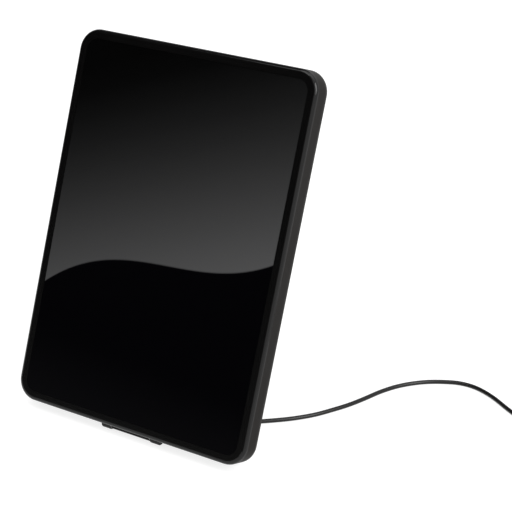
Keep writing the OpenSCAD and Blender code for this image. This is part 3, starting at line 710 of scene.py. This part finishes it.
def loopField():
    # small loops scattered over the outer faces of a strap
    tree = bpy.data.node_groups.new("loopField", "GeometryNodeTree")
    for label, kind in (("Strap", "NodeSocketGeometry"), ("Density", "NodeSocketFloat"),
                        ("Loop Radius", "NodeSocketFloat"), ("Thread Radius", "NodeSocketFloat"),
                        ("Seed", "NodeSocketInt"), ("Finish", "NodeSocketMaterial")):
        tree.interface.new_socket(label, in_out="INPUT", socket_type=kind)
    tree.interface.new_socket("Strap", in_out="OUTPUT", socket_type="NodeSocketGeometry")
    given, out = tree.nodes.new("NodeGroupInput"), tree.nodes.new("NodeGroupOutput")
    outer = node(tree, "GeometryNodeInputNamedAttribute", data_type="BOOLEAN")
    outer.inputs["Name"].default_value = "outer"
    scatter = node(tree, "GeometryNodeDistributePointsOnFaces")
    link(tree, given.outputs["Strap"], scatter.inputs["Mesh"])
    link(tree, outer.outputs["Attribute"], scatter.inputs["Selection"])
    link(tree, given.outputs["Density"], scatter.inputs["Density"])
    link(tree, given.outputs["Seed"], scatter.inputs["Seed"])
    ring = node(tree, "GeometryNodeCurvePrimitiveCircle")
    ring.inputs["Resolution"].default_value = tie["loopSides"]
    link(tree, given.outputs["Loop Radius"], ring.inputs["Radius"])
    thread = node(tree, "GeometryNodeCurvePrimitiveCircle")
    thread.inputs["Resolution"].default_value = tie["threadSides"]
    link(tree, given.outputs["Thread Radius"], thread.inputs["Radius"])
    wire = node(tree, "GeometryNodeCurveToMesh")
    link(tree, ring.outputs["Curve"], wire.inputs["Curve"])
    link(tree, thread.outputs["Curve"], wire.inputs["Profile Curve"])
    stand = node(tree, "GeometryNodeTransform")
    stand.inputs["Rotation"].default_value = (tie["loopLean"], 0, 0)
    link(tree, wire.outputs["Mesh"], stand.inputs["Geometry"])
    sown = node(tree, "GeometryNodeInstanceOnPoints")
    link(tree, scatter.outputs["Points"], sown.inputs["Points"])
    link(tree, stand.outputs["Geometry"], sown.inputs["Instance"])
    link(tree, scatter.outputs["Rotation"], sown.inputs["Rotation"])
    spin = node(tree, "FunctionNodeRandomValue", data_type="FLOAT_VECTOR")
    spin.inputs["Max"].default_value = (tie["loopTilt"], tie["loopTilt"], math.tau)
    link(tree, given.outputs["Seed"], spin.inputs["Seed"])
    turned = node(tree, "GeometryNodeRotateInstances")
    link(tree, sown.outputs["Instances"], turned.inputs["Instances"])
    link(tree, spin.outputs["Value"], turned.inputs["Rotation"])
    joined = node(tree, "GeometryNodeJoinGeometry")
    link(tree, turned.outputs["Instances"], joined.inputs["Geometry"])
    link(tree, given.outputs["Strap"], joined.inputs["Geometry"])
    real = node(tree, "GeometryNodeRealizeInstances")
    link(tree, joined.outputs["Geometry"], real.inputs["Geometry"])
    dressed = node(tree, "GeometryNodeSetMaterial")
    link(tree, real.outputs["Geometry"], dressed.inputs["Geometry"])
    link(tree, given.outputs["Finish"], dressed.inputs["Material"])
    link(tree, dressed.outputs["Geometry"], out.inputs["Strap"])
    return tree


def grown(name, mesh, tree, values):
    # runs a tree on a mesh and keeps the result as a plain piece
    draft = bpy.data.objects.new(name + "Draft", mesh)
    scene.collection.objects.link(draft)
    modifier = draft.modifiers.new("grow", "NODES")
    modifier.node_group = tree
    for label, value in values.items():
        modifier[socketOf(tree, label)] = value
    drafts = bpy.context.evaluated_depsgraph_get()
    made = bpy.data.meshes.new_from_object(draft.evaluated_get(drafts))
    draft.modifiers.clear()
    bpy.data.objects.remove(draft)
    piece = bpy.data.objects.new(name, made)
    scene.collection.objects.link(piece)
    return piece


tiePiece = grown("tieStrap", tieStrap(), loopField(), {
    "Density": tie["loopsPerSquareMm"] / mm ** 2, "Loop Radius": tie["loopRadius"],
    "Thread Radius": tie["loopRadius"] * tie["threadShare"], "Seed": tie["seed"],
    "Finish": materials["tie_black"]})
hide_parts("cord_tie")
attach(tiePiece, "case")
print("tie made,", len(tiePiece.data.polygons), "faces")

# the hinge's fixed barrel is thicker under the case, which shows as a dark strip between the knuckles
barrel = {
    "half": 13.2 * mm,
    "inner": 2.7 * mm,
    "outer": 3.45 * mm,
    "edge": 0.25 * mm,
    "taper": 0.55,  # how much of the wall the two long edges lose
    "from": math.radians(-165),
    "to": math.radians(30),
    "steps": 28,
}


def barrelShell():
    # an open ring along the barrel, its edges broken
    shell = bmesh.new()
    half, inner, outer, edge = barrel["half"], barrel["inner"], barrel["outer"], barrel["edge"]
    section = [(-half, inner), (half, inner), (half, outer - edge), (half - edge, outer),
               (edge - half, outer), (-half, outer - edge)]
    rings = []
    for step in range(barrel["steps"] + 1):
        share = step / barrel["steps"]
        turn = barrel["from"] + (barrel["to"] - barrel["from"]) * share
        thin = (outer - inner) * barrel["taper"] if step in (0, barrel["steps"]) else 0
        ring = []
        for across, reach in section:
            reach -= thin * (reach > inner)
            corner = Vector((across, math.cos(turn) * reach, math.sin(turn) * reach))
            ring.append(shell.verts.new(hinge + corner))
        rings.append(ring)
    for before, after in zip(rings, rings[1:]):
        for i in range(len(section)):
            k = (i + 1) % len(section)
            shell.faces.new((before[i], before[k], after[k], after[i]))
    shell.faces.new(rings[0])
    shell.faces.new(list(reversed(rings[-1])))
    bmesh.ops.recalc_face_normals(shell, faces=shell.faces)
    mesh = bpy.data.meshes.new("barrelShell")
    shell.to_mesh(mesh)
    shell.free()
    mesh.materials.append(materials["moulded_cover"])
    return mesh


barrelPiece = bpy.data.objects.new("barrelShell", barrelShell())
scene.collection.objects.link(barrelPiece)
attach(barrelPiece, "case")
print("barrel thickened")

# studio: a white floor and surroundings, soft lamps, and two dark cards that only gloss mirrors
studio = {
    "floorHalf": 6.0,
    "floorColour": 0.36,
    "floorRough": 0.9,
    "floorLift": 0.8,  # light of the floor's own for the rays that should see white
    "ambient": 0.5,
    "cardRadius": 2.6,
    "cardBottom": 0.01,
    "cardHeight": 2.4,
    "cardFrom": math.radians(-200),
    "cardTo": math.radians(-76),
    "cardSteps": 24,
    "cardTone": 0.012,
    "cardFootTone": 0.062,
    "cardFade": (0.24, 0.385),  # heights between which the card goes from its foot's tone to its own
    "ceiling": (-4.0, 0.1, 3.0, 2.5),  # left, right, back and height of the card overhead
}


def seenDirectly(tree):
    # the rays that should see the white surroundings: the camera's, and those that gloss and glass send on
    path = node(tree, "ShaderNodeLightPath")
    seen = math2(tree, "MAXIMUM", path.outputs["Is Camera Ray"], path.outputs["Is Glossy Ray"])
    return math2(tree, "MAXIMUM", seen, path.outputs["Is Transmission Ray"])


def stagePiece(name, corners, faces, material):
    mesh = bpy.data.meshes.new(name)
    mesh.from_pydata(corners, [], faces)
    mesh.materials.append(material)
    piece = bpy.data.objects.new(name, mesh)
    scene.collection.objects.link(piece)
    return piece


material, tree, shader = finish("floor", roughness=studio["floorRough"], specular=0.0)
shader.inputs["Base Color"].default_value = (*[studio["floorColour"]] * 3, 1)
shader.inputs["Emission Color"].default_value = (1, 1, 1, 1)
lift = math2(tree, "MULTIPLY", seenDirectly(tree), studio["floorLift"])
link(tree, lift, shader.inputs["Emission Strength"])
half = studio["floorHalf"]
corners = [(-half, -half, 0), (half, -half, 0), (half, half, 0), (-half, half, 0)]
stagePiece("floor", corners, [(0, 1, 2, 3)], material)

material = bpy.data.materials.new("card")
material.use_nodes = True
tree = material.node_tree
glow = node(tree, "ShaderNodeEmission")
split = node(tree, "ShaderNodeSeparateXYZ")
link(tree, place(tree), split.inputs["Vector"])
tone = between(tree, split.outputs["Z"], *studio["cardFade"], studio["cardFootTone"], studio["cardTone"])
link(tree, tone, glow.inputs["Strength"])
link(tree, glow.outputs["Emission"], tree.nodes["Material Output"].inputs["Surface"])
steps = studio["cardSteps"]
angles = [studio["cardFrom"] + (studio["cardTo"] - studio["cardFrom"]) * i / steps for i in range(steps + 1)]
corners = [(studio["cardRadius"] * math.cos(angle), studio["cardRadius"] * math.sin(angle), z)
           for angle in angles for z in (studio["cardBottom"], studio["cardHeight"])]
panels = [(2 * i, 2 * i + 1, 2 * i + 3, 2 * i + 2) for i in range(steps)]
sideCard = stagePiece("sideCard", corners, panels, material)
left, right, back, top = studio["ceiling"]
corners = [(left, -back, top), (right, -back, top), (right, back, top), (left, back, top)]
topCard = stagePiece("topCard", corners, [(0, 1, 2, 3)], material)
for card in (sideCard, topCard):
    card.visible_camera = card.visible_diffuse = card.visible_shadow = card.visible_transmission = False

# soft lamps, weak enough that a colour renders about as it is written
lamps = {
    "keyLamp": {"at": (1.8, -0.6, 1.4), "towards": (0.05, 0, 0.1), "side": 1.3, "watts": 34},
    "topLamp": {"at": (0.3, 0.2, 2.2), "towards": (0.05, 0, 0.05), "side": 1.6, "watts": 12},
    "leftLamp": {"at": (-0.42, -0.68, 1.98), "towards": (0.1, 0, 0.05), "side": 0.9, "watts": 10},
}
for name, look in lamps.items():
    lamp = bpy.data.objects.new(name, bpy.data.lights.new(name, "AREA"))
    lamp.data.shape = "SQUARE"
    lamp.data.size = look["side"]
    lamp.data.energy = look["watts"]
    lamp.location = look["at"]
    lamp.rotation_euler = (Vector(look["towards"]) - Vector(look["at"])).to_track_quat("-Z", "Y").to_euler()
    scene.collection.objects.link(lamp)

# the surroundings: white where they are seen, and dimmer where they only light the object
world = bpy.data.worlds.new("studio")
world.use_nodes = True
tree = world.node_tree
tree.nodes["Background"].inputs["Color"].default_value = (1, 1, 1, 1)
strength = between(tree, seenDirectly(tree), 0, 1, studio["ambient"], 1)
link(tree, strength, tree.nodes["Background"].inputs["Strength"])
scene.world = world
print("studio lit")
